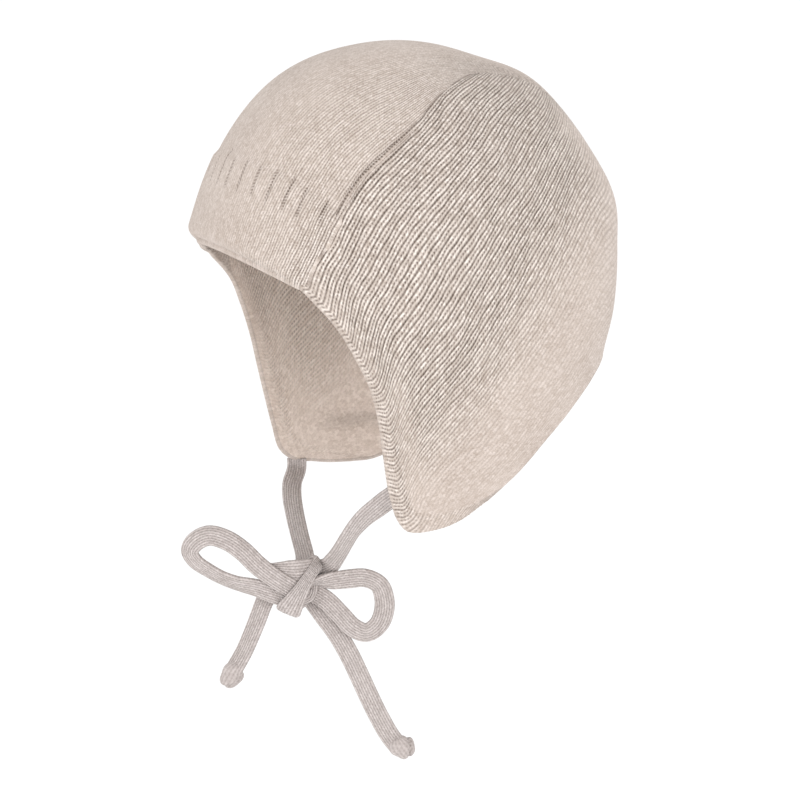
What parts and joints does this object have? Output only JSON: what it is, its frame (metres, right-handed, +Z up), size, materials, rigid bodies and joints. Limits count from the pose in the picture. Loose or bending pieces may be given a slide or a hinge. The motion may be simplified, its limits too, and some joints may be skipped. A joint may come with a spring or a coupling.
{
  "type": "baby bonnet",
  "caption": "Knitted baby bonnet with a folded rib cuff at the brow, two ear flaps and flat knitted ties in a bow below the chin.",
  "frame": {"origin": "inside top of the crown, where the bonnet sits on a head", "axes": "+Z up, the face looks along -Y, the wearer's left is +X"},
  "size_m": [0.132, 0.1759, 0.2849],
  "materials": {
    "cap_knit": "fine wool stockinette, matt with a soft fuzz",
    "tie_knit": "flat tubular knit, matt"
  },
  "bodies": {
    "root": {"center_band": "cap_knit", "side_panel_left": "cap_knit", "side_panel_right": "cap_knit", "tie_strap_left": "tie_knit", "tie_strap_right": "tie_knit", "bow_loop_left": "tie_knit", "bow_loop_right": "tie_knit", "tie_tail_left": "tie_knit", "tie_tail_right": "tie_knit", "bow_knot": "tie_knit", "end_knot_left": "tie_knit", "end_knot_right": "tie_knit"}
  },
  "joints": []
}
